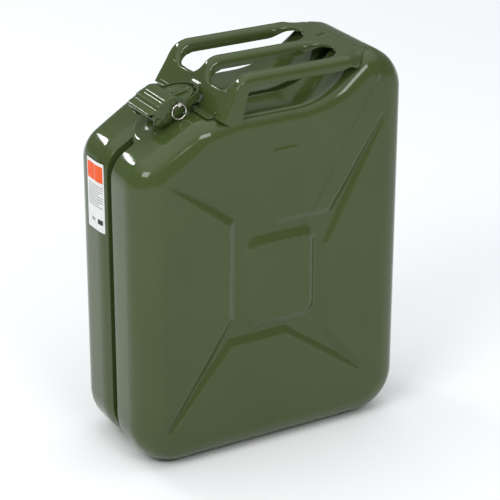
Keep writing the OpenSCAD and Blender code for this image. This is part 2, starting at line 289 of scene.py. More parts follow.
def rubber():
    """Matt black fuel-resistant rubber."""
    m = Nodes("black_rubber")
    black, worn = (0.012, 0.012, 0.012), (0.024, 0.024, 0.023)
    m.join(m.ramp(m.noise(120, 4, 0.6), [(0.3, black), (0.7, worn)]),
           m.shader.inputs["Base Color"])
    m.join(m.span(m.noise(260, 3), 0.55, 0.75), m.shader.inputs["Roughness"])
    m.bump((m.noise(1400, 2), 0.00005, 0.4))
    return m.material


def printed(name, colour):
    """Satin label film with a faint ripple, in one ink or the bare film's white."""
    m = Nodes(name)
    dark = tuple(0.93 * c for c in colour)
    m.join(m.ramp(m.noise(70, 3), [(0.3, dark), (0.7, colour)]), m.shader.inputs["Base Color"])
    m.join(m.span(m.noise(200, 3), 0.38, 0.52), m.shader.inputs["Roughness"])
    m.bump((m.noise(90, 2), 0.0002, 0.12))
    m.set(IOR=1.3)
    return m.material


ENAMEL = enamel()
STEEL = bare_steel("plated_steel", (0.62, 0.60, 0.56), 0.18, 0.34)
RING_STEEL = bare_steel("ring_wire", (0.74, 0.70, 0.64), 0.14, 0.26)
RUBBER = rubber()
LABEL_WHITE = printed("label_film", (0.82, 0.82, 0.80))
LABEL_ORANGE = printed("label_orange", (0.90, 0.105, 0.012))
LABEL_GREY = printed("label_grey", (0.34, 0.34, 0.35))
LABEL_BLACK = printed("label_black", (0.03, 0.03, 0.03))

# ---------------------------------------------------------------- body outline

# Corner x, corner z, fillet radius, counter-clockwise from the bottom corner under the spout
CORNERS = [
    (-HALF_W, 0, 55), (HALF_W, 0, 55), (HALF_W, BAR_TOP - 24.5, 50),
    (HALF_W - 35.4, SHELL_TOP, 30), (HALF_W - 57, SHELL_TOP, 22),
    (HALF_W - 112.4, VALLEY_Z, 95), (SHOULDER_RUN - HALF_W, VALLEY_Z, 45),
    (-HALF_W, SHOULDER_Z, 38),
]
# Points in each fillet, and the distance between the outline's final points
ARC_STEPS = 40
OUTLINE_SPACING = 3.0
# Radius between the upper outline and the faces, as x and radius
TOP_RADII = [(-HALF_W, EDGE_R), (-145, 30), (-100, 27), (-75, 20), (-50, 14), (45, 14),
             (70, 18), (100, 24), (125, 29), (150, 33), (HALF_W, EDGE_R)]
# The radii hold above this height, and are smoothed over this many outline points
RADII_FROM_Z = SHOULDER_Z - 20
RADII_BLUR = 15


def rounded_loop(corners, spacing):
    """Evenly spaced points and outward normals round a loop of filleted corners."""
    pieces = []
    count = len(corners)
    for i, (x, z, r) in enumerate(corners):
        b = np.array([x, z], float)
        a, c = (np.array(corners[j % count][:2], float) for j in (i - 1, i + 1))
        u, w = (a - b) / np.linalg.norm(a - b), (c - b) / np.linalg.norm(c - b)
        half = math.acos(float(u @ w)) / 2
        bisector = (u + w) / np.linalg.norm(u + w)
        centre, t = b + bisector * r / math.sin(half), r / math.tan(half)
        first, last = b + u * t - centre, b + w * t - centre
        start = math.atan2(first[1], first[0])
        turn = (math.atan2(last[1], last[0]) - start + math.pi) % (2 * math.pi) - math.pi
        steps = np.linspace(0, 1, ARC_STEPS)
        around = np.stack([np.cos(start + turn * steps), np.sin(start + turn * steps)], 1)
        pieces.append((centre + r * around, np.sign(turn) * around))
    dense = np.concatenate([p for p, n in pieces])
    normals = np.concatenate([n for p, n in pieces])
    dense, normals = (np.concatenate([a, a[:1]]) for a in (dense, normals))
    length = np.concatenate([[0], np.cumsum(np.linalg.norm(np.diff(dense, axis=0), axis=1))])
    n = int(length[-1] / spacing)
    at = np.arange(n) * length[-1] / n
    points = np.stack([np.interp(at, length, dense[:, k]) for k in (0, 1)], 1)
    normals = np.stack([np.interp(at, length, normals[:, k]) for k in (0, 1)], 1)
    return points, normals / np.linalg.norm(normals, axis=1, keepdims=True)


OUTLINE, NORMAL = rounded_loop(CORNERS, OUTLINE_SPACING)


def edge_rounding():
    """Radius between side and face at each outline point, smaller under the bars."""
    x, z = OUTLINE[:, 0], OUTLINE[:, 1]
    r = np.interp(x, *zip(*TOP_RADII))
    r = np.where(z < RADII_FROM_Z, EDGE_R, r)
    kernel = np.hanning(RADII_BLUR) / np.hanning(RADII_BLUR).sum()
    ends = RADII_BLUR // 2
    return np.convolve(np.concatenate([r[-ends:], r, r[:ends]]), kernel, "valid")


ROUNDING = edge_rounding()
# Points of the outline on the top, the shoulder and the corner above the narrow sides
UPPER = OUTLINE[:, 1] > SHOULDER_Z - 10


def along_top(values, x):
    """Value at x of something known at each outline point, on the upper outline."""
    order = np.argsort(OUTLINE[UPPER, 0])
    return np.interp(x, OUTLINE[UPPER, 0][order], values[UPPER][order])


def top_surface(x):
    """Height of the body's upper outline at x."""
    return along_top(OUTLINE[:, 1], x)


def top_rounding(x):
    """Radius between the upper outline and the faces at x."""
    return along_top(ROUNDING, x)


# ---------------------------------------------------------------- pressed faces

# Middle of the pressed cross in X and Z, and its depth
CROSS = np.array([2.0, 214.5])
CROSS_DEPTH = 4.6
# Width of the slope round a pressed shape, and the share of it that is rounded at each end
PRESS_WIDTH = 12.5
PRESS_SOFT = 0.28
# Outline of the sunk cross at half depth, clockwise from the upper left arm's tip
CROSS_OUTLINE = [
    (-133, 354), (0, 284), (70, 284), (141, 388), (64, 244), (66, 134),
    (113, 73), (14, 146), (-60, 146), (-140, 50), (-58, 176), (-57, 294),
]
# Centre x, centre z, half width, half height and corner radius of the raised square
SQUARE = (6.0, 213.5, 42.0, 52.5, 13.0)
# Centre x, centre z, half width and end radius of the level mark, and its height in the visual
MARK_X, MARK_Z, MARK_HALF, MARK_R = 10, 370, 17, 2.4
MARK_HEIGHT = LEVEL_MARK * 0.8
# Fall of the face towards its edges: centre, distance where it starts, run and amount
CROWN_ACROSS = (3, 70, 75, 1.1)
CROWN_UP = (200, 120, 110, 0.5)


def polygon_distance(x, z, corners):
    """Distance to the edge of a polygon, negative inside."""
    nearest = np.full(x.shape, np.inf)
    inside = np.zeros(x.shape, bool)
    for (ax, az), (bx, bz) in zip(corners, corners[1:] + corners[:1]):
        dx, dz = bx - ax, bz - az
        t = np.clip(((x - ax) * dx + (z - az) * dz) / (dx * dx + dz * dz), 0, 1)
        nearest = np.minimum(nearest, np.hypot(x - ax - t * dx, z - az - t * dz))
        crosses = (az > z) != (bz > z)
        inside ^= crosses & (x < ax + (z - az) * dx / (dz or 1))
    return np.where(inside, -nearest, nearest)


def relief(x, z):
    """How far the face is pressed in at x, z."""
    cross = polygon_distance(x, z, CROSS_OUTLINE)
    centre_x, centre_z, half_x, half_z, r = SQUARE
    square = rounded_box(x - centre_x, z - centre_z, half_x, half_z, r)
    sunk = pressed(0.5 - cross / PRESS_WIDTH, PRESS_SOFT)
    proud = pressed(0.5 - square / PRESS_WIDTH, PRESS_SOFT)
    return CROSS_DEPTH * sunk * (1 - proud)


def level_mark(x, z):
    """Small raised bar that marks the fill level."""
    distance = rounded_box(x - MARK_X, z - MARK_Z, MARK_HALF, MARK_R, MARK_R)
    return MARK_HEIGHT * smooth(0.5 - distance / MARK_R)


def edge_fall(at, centre, start, run, amount):
    """Fall towards both ends of one direction."""
    return amount * smooth((np.abs(at - centre) - start) / run)


def crown(x, z):
    """Slight fall of the face towards its edges, from the press."""
    return edge_fall(x, *CROWN_ACROSS) + edge_fall(z, *CROWN_UP)


# Depth of the seam groove, and the overlap of shell and band at its bottom
GROOVE_BOTTOM = 13.0
LAP = 0.6
# Each rim's slope down to the groove: its straight run and turn in degrees, then an arc's run
REAR_SLOPE = (5.0, 20.0)
FRONT_SLOPE = (0.5, 2.5)
SLOPE_ARC = 15.0
# Radius of the bend from each slope into the groove
REAR_LIP, FRONT_LIP = 1.2, 1.8
# How much further from the seam the rear rim is than the CAD's, and how much nearer the front one
REAR_OPENING, FRONT_CLOSING = 10.0, 1.5
FACE_RINGS = 96
# The pressing fades in from this depth below the face, over this run
FACE_DEPTH, FACE_RUN = 9, 7
# Foot of the neck on the shoulder, and the hole in the shell under it
NECK_FOOT = np.array([-107.0, SEAM_Y])
NECK_FOOT_R = 33.0
NECK_HOLE_HALF, NECK_HOLE_R = 24, NECK_FOOT_R - 8


def slope_drop(d, flat, turn):
    """Drop at distance d from a rim: a straight slope, then an arc that levels out."""
    angle = math.radians(turn)
    r = SLOPE_ARC / math.sin(angle)
    end = flat + SLOPE_ARC
    straight = r * (1 - math.cos(angle)) + (flat - d) * math.tan(angle)
    arc = r - np.sqrt(np.maximum(r * r - np.clip(end - d, 0, SLOPE_ARC) ** 2, 0))
    return np.where(d < flat, straight, arc)


def rim_profile(slope, lip):
    """(inset, distance from the rim) of a shell's rim: groove wall, lip and slope."""
    flat, turn = slope
    deep = float(slope_drop(lip, flat, turn))
    bends = np.linspace(0, math.pi / 2 - math.radians(turn), 7)
    wall = [(GROOVE_BOTTOM + LAP, 0.0), (GROOVE_BOTTOM * 0.7, 0.0)]
    bend = [(deep + lip * (1 - math.sin(a)), lip * (1 - math.cos(a))) for a in bends]
    last = bend[-1][1]
    arc = np.linspace(flat, flat + SLOPE_ARC, 8)
    past = np.unique(np.concatenate([[last + 1.0, flat], arc]))
    ease = [(float(slope_drop(d, flat, turn)), d) for d in past if d > last + 0.5]
    return wall + bend + ease


def shell_rings(rim_y, slope, lip):
    """Rings of one half of the body, from its rim to the +Y face's edge, as [ring, point, xyz]."""
    rings = []
    for inset, y in rim_profile(slope, lip):
        q = OUTLINE - NORMAL * inset
        rings.append(np.column_stack([q[:, 0], np.full(len(q), rim_y + y), q[:, 1]]))
    for a in np.linspace(0, math.pi / 2, 13):
        q = OUTLINE - NORMAL * (ROUNDING * (1 - math.cos(a)))[:, None]
        rings.append(np.column_stack([q[:, 0], HALF_D - ROUNDING * (1 - math.sin(a)), q[:, 1]]))
    return rings


def face_rings(edge, count):
    """Rings that close the face from its edge to the centre of the cross."""
    centre = np.array([CROSS[0], HALF_D, CROSS[1]])
    return [centre + (edge - centre) * (1 - t) for t in np.linspace(0, 1, count)[1:-1]]


def half_shell(side, rim_y, slope, lip):
    """One pressed half of the body, side 1 at +Y or -1 at -Y."""
    rings = shell_rings(rim_y, slope, lip)
    rings += face_rings(rings[-1], FACE_RINGS)
    n = len(OUTLINE)
    verts = np.concatenate(rings + [np.array([[CROSS[0], HALF_D, CROSS[1]]])])
    x, y, z = verts.T
    flat = smooth((y - HALF_D + FACE_DEPTH) / FACE_RUN)
    y = y - flat * (relief(x, z) + crown(x, z) - level_mark(x, z))
    verts = np.column_stack([x, side * y, z])
    faces = grid_faces(len(rings), n, closed=True)
    last = (len(rings) - 1) * n
    faces += [(last + i, last + (i + 1) % n, len(verts) - 1) for i in range(n)]
    if side > 0:
        faces = [f[::-1] for f in faces]
    return verts, faces


def under_neck(p):
    """Whether a point of the shell lies inside the foot of the neck."""
    return (abs(p[0] - NECK_FOOT[0]) < NECK_HOLE_HALF and p[2] > SHOULDER_Z
            and math.hypot(p[0] - NECK_FOOT[0], p[1] - SEAM_Y) < NECK_HOLE_R)


def band_section():
    """(inset, distance from the seam) across the welded band, with its ridge in the middle."""
    front, rear = -GROOVE_HALF, GROOVE_HALF
    ridge = [(0, -2.2), (-0.5, -1.5), (-1.1, -0.6), (-1.1, 0.6), (-0.5, 1.5), (0, 2.2)]
    return [(LAP, front - LAP), (0.0, front + 1.5), *ridge,
            (0.0, rear - 1.5), (LAP, rear + REAR_OPENING + LAP)]


def build_shells():
    """Both pressed halves and the welded band at the bottom of the seam groove."""
    for name, side, rim, slope, lip in (
            ("shell_front", -1, -SEAM_Y + GROOVE_HALF - FRONT_CLOSING, FRONT_SLOPE, FRONT_LIP),
            ("shell_rear", 1, SEAM_Y + GROOVE_HALF + REAR_OPENING, REAR_SLOPE, REAR_LIP)):
        verts, faces = half_shell(side, rim, slope, lip)
        faces = [f for f in faces if not all(under_neck(verts[i]) for i in f)]
        node = "front_shell" if side < 0 else "rear_shell"
        mesh_object(name, verts, faces, ENAMEL, nodes=[node])
    rings = []
    for inset, y in band_section():
        q = OUTLINE - NORMAL * (GROOVE_BOTTOM + inset)
        rings.append(np.column_stack([q[:, 0], np.full(len(q), SEAM_Y + y), q[:, 1]]))
    verts = np.concatenate(rings)
    faces = [f[::-1] for f in grid_faces(len(rings), len(OUTLINE), closed=True)
             if not all(under_neck(verts[i]) for i in f)]
    mesh_object("seam_weld", verts, faces, ENAMEL, nodes=["seam_band"])


# ---------------------------------------------------------------- carrying handle

# The front web's slope, where it ends on the valley, and the bend that leads into it
WEB_ANGLE = math.radians(57.5)
WEB_X = -41.8
BEND_R = 21.0
REACH = BEND_R * math.tan(WEB_ANGLE / 2)
BEND_X = WEB_X + REACH
WEB_LENGTH = (BAR_TOP - VALLEY_Z - 1.5) / math.sin(WEB_ANGLE)
# Half width of the hand gaps, the radius of their front ends, and how far they cut into the web
SLOT_HALF = BAR_PITCH / 2 - BAR_R
SLOT_FRONT_R = 15
CUT_DEPTH = 24.0
# Half width of the handle, and where its hand gaps end on the far side
OUTER = BAR_PITCH + BAR_R
REAR_SLOT_X = 97.0
# The rear plate narrows between these two, down to its rounded end on the far corner
PLATE_FULL_X = 100.0
PLATE_END_X = 145.0
# From here outwards the plate comes down from the bars' level, and lies this far off the body
BAR_LEVEL_X = 118
PLATE_GAP = 0.05
# The body's edge rounding shows in the plate from here, over this run
FALL_START_X = 92.0
FALL_RUN = 22
# Side of the drawn surface on which the sheet has its thickness
SOLID_SIDE = -1.0


class HandlePath:
    """Path of the handle sheet in X and Z: over the far corner, along the bars, down the web."""

    def __init__(self):
        top = [(x, z) for x, z in zip(*self.corner_line())]
        bars = [(x, BAR_TOP) for x in np.arange(BAR_LEVEL_X, BEND_X, -2.0)]
        bend = [(BEND_X - BEND_R * math.sin(a), BAR_TOP - BEND_R * (1 - math.cos(a)))
                for a in np.linspace(0, WEB_ANGLE, 12)]
        start = np.array(bend[-1])
        down = np.array([-math.cos(WEB_ANGLE), -math.sin(WEB_ANGLE)])
        web = [tuple(start + down * t) for t in np.arange(1, WEB_LENGTH - REACH, 1.0)]
        web.append(tuple(start + down * (WEB_LENGTH - REACH)))
        points = np.array(top + bars + bend + web)
        steps = np.linalg.norm(np.diff(points, axis=0), axis=1)
        self.s = np.concatenate([[0], np.cumsum(steps)])
        self.points = points
        tangent = np.gradient(points, self.s, axis=0)
        tangent /= np.linalg.norm(tangent, axis=1, keepdims=True)
        self.normals = np.column_stack([tangent[:, 1], -tangent[:, 0]])

    @staticmethod
    def corner_line():
        """The sheet's outer face on the body's far corner, from its end up to the plateau."""
        x = np.concatenate([np.arange(PLATE_END_X, 130, -1.2), np.arange(130, 119, -2.0)])
        z = top_surface(x)
        down = smooth((x - BAR_LEVEL_X) / (PLATE_END_X - BAR_LEVEL_X))
        return x, z + PLATE_GAP + (BAR_TOP - SHELL_TOP - PLATE_GAP) * (1 - down)

    def at(self, s):
        """Point and outward normal at path length s."""
        p = np.array([np.interp(s, self.s, self.points[:, k]) for k in (0, 1)])
        n = np.array([np.interp(s, self.s, self.normals[:, k]) for k in (0, 1)])
        return p, n / np.linalg.norm(n)

    def s_at_x(self, x):
        """Path length where the path passes x, on its upper run."""
        return float(np.interp(-x, -self.points[:, 0], self.s))


PATH = HandlePath()
# Path lengths: the web's end, the bars' end, the gaps' far end, the web's top, the gaps' near end
S_END = PATH.s[-1]
S_BEND = PATH.s_at_x(BEND_X)
S_SLOT_REAR = PATH.s_at_x(REAR_SLOT_X)
S_WEB = S_BEND + BEND_R * WEB_ANGLE
S_SLOT_FRONT = S_END - WEB_LENGTH + CUT_DEPTH
# Where the sheet is cut into rear plate, bars and web
S_BARS = (PATH.s_at_x(66), PATH.s_at_x(-22))
# Run of the plate over which its outer fold starts
S_PLATE = (PATH.s_at_x(130), PATH.s_at_x(112))
# Crease above the neck: path length, middle, half width, width of the ridge, height and dish
CREASE_S = S_END - WEB_LENGTH + 33
CREASE_Y, CREASE_HALF, CREASE_WIDTH = -1, 12, 2.0
CREASE_HEIGHT, DISH_DEPTH = 0.9, 0.5
# Hollows in the web between the feet
HOLLOW_WIDTH, HOLLOW_DEPTH = 14, 0.8
# Pressed joint line and dent in the rear plate: where, width and depth
SEAM_LINE_Y, SEAM_LINE_WIDTH, SEAM_LINE_DEPTH = -5.0, 0.8, 1.6
DENT_FROM, DENT_TO = (PATH.s_at_x(104), 8.0), (PATH.s_at_x(117), 15.0)
DENT_WIDTH, DENT_DEPTH = 1.6, 3.6
# Smallest radius of the rolled edge at the hand gaps, and of the fold at the outer edges
LIP_R, FOLD_R = 2.2, 1.9
# Depth of the folded edge at its shallowest and in the bars
SKIRT_LOW, SKIRT_FULL = 1.2, 5.0
# Front edge of the side legs in X and Z, and the depth where the sheet runs along it
LEG_TOP, LEG_FOOT = np.array([-35.5, BAR_TOP - 15]), np.array([-43.5, VALLEY_Z - 3])
LEG_PARALLEL, LEG_LEAST = 5, 1.5
# The web is cut away for the neck past this path length, between these two y
NOTCH_S = S_END - WEB_LENGTH + 40
NOTCH_LOW, NOTCH_HIGH = -25.01, 5.01
# Shares of the depth at which the folded edge has its vertices
SKIRT_SHARES = (0.33, 0.66, 1.0)
SKIRT_ROWS = len(SKIRT_SHARES)
# Places that need closer rows than the rest, as path length and reach
FINE_STATIONS = [(S_SLOT_REAR, 7), (S_SLOT_FRONT, 7), (CREASE_S, 3), (S_PLATE[1], 9)]


def slot_edge(s):
    """Half width of a hand gap at path length s, zero past its rounded ends."""
    rear = np.clip(s - S_SLOT_REAR, 0, SLOT_HALF)
    front = np.clip(S_SLOT_FRONT - s, 0, SLOT_FRONT_R)
    wide_rear = np.sqrt(np.maximum(SLOT_HALF ** 2 - (SLOT_HALF - rear) ** 2, 0))
    wide_front = (SLOT_HALF - SLOT_FRONT_R
                  + np.sqrt(np.maximum(SLOT_FRONT_R ** 2 - (SLOT_FRONT_R - front) ** 2, 0)))
    inside = (s > S_SLOT_REAR) & (s < S_SLOT_FRONT)
    return np.where(inside, np.minimum(wide_rear, wide_front), 0)


def slot_distance(s, y):
    """Distance to the nearer hand gap, in the flattened sheet."""
    mid, half = (S_SLOT_REAR + S_SLOT_FRONT) / 2, (S_SLOT_FRONT - S_SLOT_REAR) / 2
    r = np.where(s < mid, SLOT_HALF - 0.01, SLOT_FRONT_R)
    along = np.abs(s - mid) - half + r
    across = np.abs(np.abs(y) - BAR_PITCH / 2) - SLOT_HALF + r
    return (np.hypot(np.maximum(along, 0), np.maximum(across, 0))
            + np.minimum(np.maximum(along, across), 0) - r)


def lip_radius(s):
    """Radius of the rolled edge: the bar's own in the bars, smaller in web and rear plate."""
    front = 1 - smooth((s - S_WEB + 10) / 30)
    rear = smooth((s - S_SLOT_REAR + 2) / 26)
    return LIP_R + (BAR_R - LIP_R) * np.minimum(front, rear)


def outer_radius(s):
    """Radius of the fold at the outer edges of the handle."""
    front = 1 - smooth((s - S_BEND - 4) / 24)
    rear = smooth((s - S_SLOT_REAR + 24) / 36)
    return FOLD_R + (BAR_R - FOLD_R) * front * (0.45 + 0.55 * rear)


def roll(distance, r):
    """Drop of a sheet that rolls over to its edge with radius r."""
    d = np.clip(distance, 0, r)
    return r - np.sqrt(np.maximum(r * r - (r - d) ** 2, 0))


def segment_distance(s, y, start, end):
    """Distance from s, y to the straight line between two points of the flattened sheet."""
    ds, dy = end[0] - start[0], end[1] - start[1]
    t = np.clip(((s - start[0]) * ds + (y - start[1]) * dy) / (ds * ds + dy * dy), 0, 1)
    return np.hypot(s - start[0] - t * ds, y - start[1] - t * dy)


def sheet_height(s, y):
    """Height of the handle sheet off its path at s, y."""
    inner, outer = lip_radius(s), outer_radius(s)
    drop_inner = roll(slot_distance(s, y), inner)
    folded = smooth((s - S_PLATE[0]) / (S_PLATE[1] - S_PLATE[0]))
    drop_outer = roll(OUTER - np.abs(y), outer) * folded
    over_neck = smooth((CREASE_HALF - np.abs(y - CREASE_Y)) / 3)
    ridge = bell(s - CREASE_S, CREASE_WIDTH) * over_neck
    dish = smooth((s - CREASE_S) / 3) * over_neck
    waist = smooth((s - S_WEB - 4) / 12) * (1 - smooth((s - S_END + 12) / 8))
    hollow = waist * bell(np.abs(y) - BAR_PITCH / 2, HOLLOW_WIDTH)
    seam = bell(y - SEAM_LINE_Y, SEAM_LINE_WIDTH) * (1 - smooth((s - S_PLATE[1]) / 4))
    dent = bell(segment_distance(s, y, DENT_FROM, DENT_TO), DENT_WIDTH)
    marks = HOLLOW_DEPTH * hollow + SEAM_LINE_DEPTH * seam + DENT_DEPTH * dent
    return CREASE_HEIGHT * ridge - DISH_DEPTH * dish - marks - np.maximum(drop_inner, drop_outer)


def skirt_depth(s):
    """How far the edge of a bar hangs below its rounded top."""
    front = 1 - smooth((s - S_WEB + 6) / 22)
    rear = smooth((s - S_SLOT_REAR) / 30)
    return SKIRT_LOW + (SKIRT_FULL - SKIRT_LOW) * np.minimum(front, rear)


def leg_depth(s):
    """How far the outer edge hangs: a bar's skirt, then the side leg down to the body."""
    p, n = PATH.at(s)
    edge = LEG_FOOT - LEG_TOP
    across = n[0] * edge[1] - n[1] * edge[0]
    to_leg = LEG_PARALLEL
    if abs(across) > 1e-6:
        to_leg = ((p[0] - LEG_TOP[0]) * edge[1] - (p[1] - LEG_TOP[1]) * edge[0]) / across
    blend = float(smooth((s - S_WEB + 9) / 9))
    rear = float(smooth((s - S_SLOT_REAR + 14) / 30))
    bar = SKIRT_FULL * (0.1 + 0.9 * rear)
    return bar * (1 - blend) + blend * max(to_leg - FOLD_R, LEG_LEAST)


def strip_fractions(count, breaks):
    """Even fractions from 0 to 1 that include the given breaks."""
    stops = [0, *breaks, 1]
    spans = [np.linspace(a, b, max(2, round((b - a) * count) + 1))
             for a, b in zip(stops, stops[1:])]
    return np.unique(np.round(np.concatenate(spans), 9))


# Fractions across the middle strip: the neck's notch, and close lines at the seam and the dent
MIDDLE_BREAKS = sorted({10 / 70, 40 / 70, *np.arange(27.5, 32.6, 0.5) / 70,
                        *np.arange(41.5, 52.6, 0.5) / 70})
# The sheet's three strips, each up to the middle of a hand gap: low y, high y, fractions across
STRIPS = [
    (-OUTER, -BAR_PITCH / 2, strip_fractions(24, [])),
    (-BAR_PITCH / 2, BAR_PITCH / 2, strip_fractions(34, MIDDLE_BREAKS)),
    (BAR_PITCH / 2, OUTER, strip_fractions(24, [])),
]


def body_fall(x, y):
    """How far the body's edge has rounded down below its top line at x, y."""
    if x < FALL_START_X:
        return np.zeros_like(y)
    r = float(top_rounding(x))
    past = np.clip(np.abs(y) - (HALF_D - r), 0, r)
    share = smooth((x - FALL_START_X) / FALL_RUN)
    return share * (r - np.sqrt(r * r - past ** 2))


def plate_taper(x):
    """Share of the handle's width that is left at x, on the rounded end of the rear plate."""
    t = np.clip((x - PLATE_FULL_X) / (PLATE_END_X - PLATE_FULL_X), 0, 1)
    return np.sqrt(np.maximum(1 - t ** 1.5, 0.0))


def sheet_row(s, strip):
    """Vertices across one strip at path length s, its skirts included."""
    low, high, fractions = STRIPS[strip]
    cut = float(slot_edge(np.array(s)))
    left = low if strip == 0 else low + cut
    right = high if strip == 2 else high - cut
    in_slot = cut > 0
    crowd = 0.5 - 0.5 * np.cos(math.pi * fractions)
    share = float(smooth(cut / SLOT_HALF)) * 0.8
    y = left + (right - left) * ((1 - share) * fractions + share * crowd)
    p, n = PATH.at(s)
    h = sheet_height(np.full_like(y, s), y)
    y = y * plate_taper(p[0])
    h = h - body_fall(p[0], y)
    row = np.column_stack([p[0] + n[0] * h, y, p[1] + n[1] * h])
    ends = []
    for k, outer in ((0, strip == 0), (-1, strip == 2)):
        depth = leg_depth(s) if outer else (float(skirt_depth(s)) if in_slot else 0.0)
        step = np.array([-n[0], 0, -n[1]])
        ends.append([row[k] + step * depth * t for t in SKIRT_SHARES])
    return np.array([*ends[0][::-1], *row, *ends[1]]), in_slot


def path_stations(s0, s1):
    """Path lengths between s0 and s1, close together in bends and at the ends of the slots."""
    stations, s = [s0], s0
    while s < s1:
        near = min(abs(s - at) - reach for at, reach in FINE_STATIONS)
        to_slot_end = min(abs(s - S_SLOT_REAR), abs(s - S_SLOT_FRONT))
        if to_slot_end < 2:
            step = 0.25
        elif near < 0:
            step = 0.7
        else:
            step = 1.6 if (s > S_BEND - 3 or s < S_BARS[0]) else 4.0
        s += step
        stations.append(min(s, s1))
    marks = [m for m in (S_SLOT_REAR, S_SLOT_FRONT) if s0 < m < s1]
    kept = [t for t in stations if all(abs(t - m) > 0.3 for m in marks)]
    return sorted(set(kept + marks))


def notched(s, y):
    """Whether the web is cut away there for the neck."""
    return s > NOTCH_S and NOTCH_LOW < y < NOTCH_HIGH


def sheet_part(name, s0, s1, strips, nodes):
    """One piece of the handle sheet between two path lengths, with thickness."""
    verts, faces, seen = [], [], {}

    def index(p):
        key = tuple(np.round(p, 3))
        if key not in seen:
            seen[key] = len(verts)
            verts.append(p)
        return seen[key]

    for strip in strips:
        rows = [(s, *sheet_row(s, strip)) for s in path_stations(s0, s1)]
        for (sa, a, cut_a), (sb, b, cut_b) in zip(rows, rows[1:]):
            for c in range(len(a) - 1):
                low_skirt, high_skirt = c < SKIRT_ROWS, c >= len(a) - SKIRT_ROWS - 1
                outer = (low_skirt and strip == 0) or (high_skirt and strip == 2)
                if (low_skirt or high_skirt) and not outer and not (cut_a or cut_b):
                    continue
                if notched((sa + sb) / 2, (a[c][1] + a[c + 1][1]) / 2):
                    continue
                corners = [index(p) for p in (a[c], a[c + 1], b[c + 1], b[c])]
                unique = list(dict.fromkeys(corners))
                if len(unique) > 2:
                    faces.append(tuple(unique))
    obj = mesh_object(name, verts, faces, ENAMEL, nodes=nodes)
    solid = obj.modifiers.new("sheet", "SOLIDIFY")
    solid.thickness, solid.offset = SHEET * MM, SOLID_SIDE
    solid.use_even_offset = False
    apply_modifiers(obj)
    return sharpen(obj, SHEET_SHARP)


# Lowest and highest y of the web's two feet, their bend and their rise up the web
FEET = ((-65, -29, "front"), (20, 65, "rear"))
FOOT_BEND, FOOT_RISE, FOOT_TRIM = 2.4, 3.2, 2.0


def build_handle():
    """The stamped handle: rear plate, three bars, front web with its legs, and two feet."""
    rear_end, front_end = S_BARS
    sheet_part("handle_rear_plate", 0.0, rear_end, (0, 1, 2), ["handle_rear_bracket"])
    for strip, where in enumerate(("front", "middle", "rear")):
        sheet_part(f"carrying_bar_{where}", rear_end, front_end, (strip,), [f"handle_bar_{where}"])
    sheet_part("handle_front_web", front_end, S_END, (0, 1, 2), ["handle_front_bracket"])
    for low, high, name in FEET:
        foot_flange(f"handle_foot_{name}", low, high)


def foot_flange(name, y0, y1):
    """Foot of the web: bent flat onto the body and spot welded."""
    angles = np.linspace(WEB_ANGLE, 0, 8)
    foot_z = VALLEY_Z + SHEET + 0.2
    web_end, _ = PATH.at(S_END)
    x0 = web_end[0] + 0.6
    line = [(x0 + FOOT_RISE * math.cos(WEB_ANGLE),
             foot_z + FOOT_BEND + FOOT_RISE * math.sin(WEB_ANGLE))]
    line += [(x0 - FOOT_BEND * math.sin(WEB_ANGLE) + FOOT_BEND * math.sin(a),
              foot_z + FOOT_BEND * (1 - math.cos(a))) for a in angles]
    line += [(line[-1][0] - t, foot_z) for t in (2, 5, 8)]
    line = np.array(line)
    spans = np.linspace(y0, y1, 14)
    verts = np.array([[x, y, z] for x, z in line for y in spans])
    for i, (x, y, z) in enumerate(verts):
        if i >= (len(line) - 1) * len(spans):
            verts[i][1] = np.clip(y, y0 + FOOT_TRIM, y1 - FOOT_TRIM)
    obj = mesh_object(name, verts, grid_faces(len(line), len(spans)), ENAMEL)
    solid = obj.modifiers.new("sheet", "SOLIDIFY")
    solid.thickness, solid.offset = SHEET * MM, 1.0
    apply_modifiers(obj)
    return sharpen(obj, SHEET_SHARP)


# ---------------------------------------------------------------- neck

# The closure's coordinates: origin in the middle of the mouth, Z along its axis
MOUTH_TILT = math.radians(12)
MOUTH = np.array([-93.0, SEAM_Y, VALLEY_Z + 14])
MOUTH_R = 19.0
AXIS_X = np.array([math.cos(MOUTH_TILT), 0, math.sin(MOUTH_TILT)])
AXIS_Z = np.array([-math.sin(MOUTH_TILT), 0, math.cos(MOUTH_TILT)])
AXIS_Y = np.array([0.0, 1.0, 0.0])
NECK_POINTS = 96
# How long the flare keeps the direction of the tube and of the shoulder, as shares of its span
NECK_PULL, FOOT_PULL = 0.9, 0.75
# How far the flare's edge is tucked outwards and down into the shell
NECK_TUCK = 1.2


def in_closure(x, y, z):
    """Point in the frame from closure coordinates, in millimetres."""
    return MOUTH + AXIS_X * x + AXIS_Y * y + AXIS_Z * z


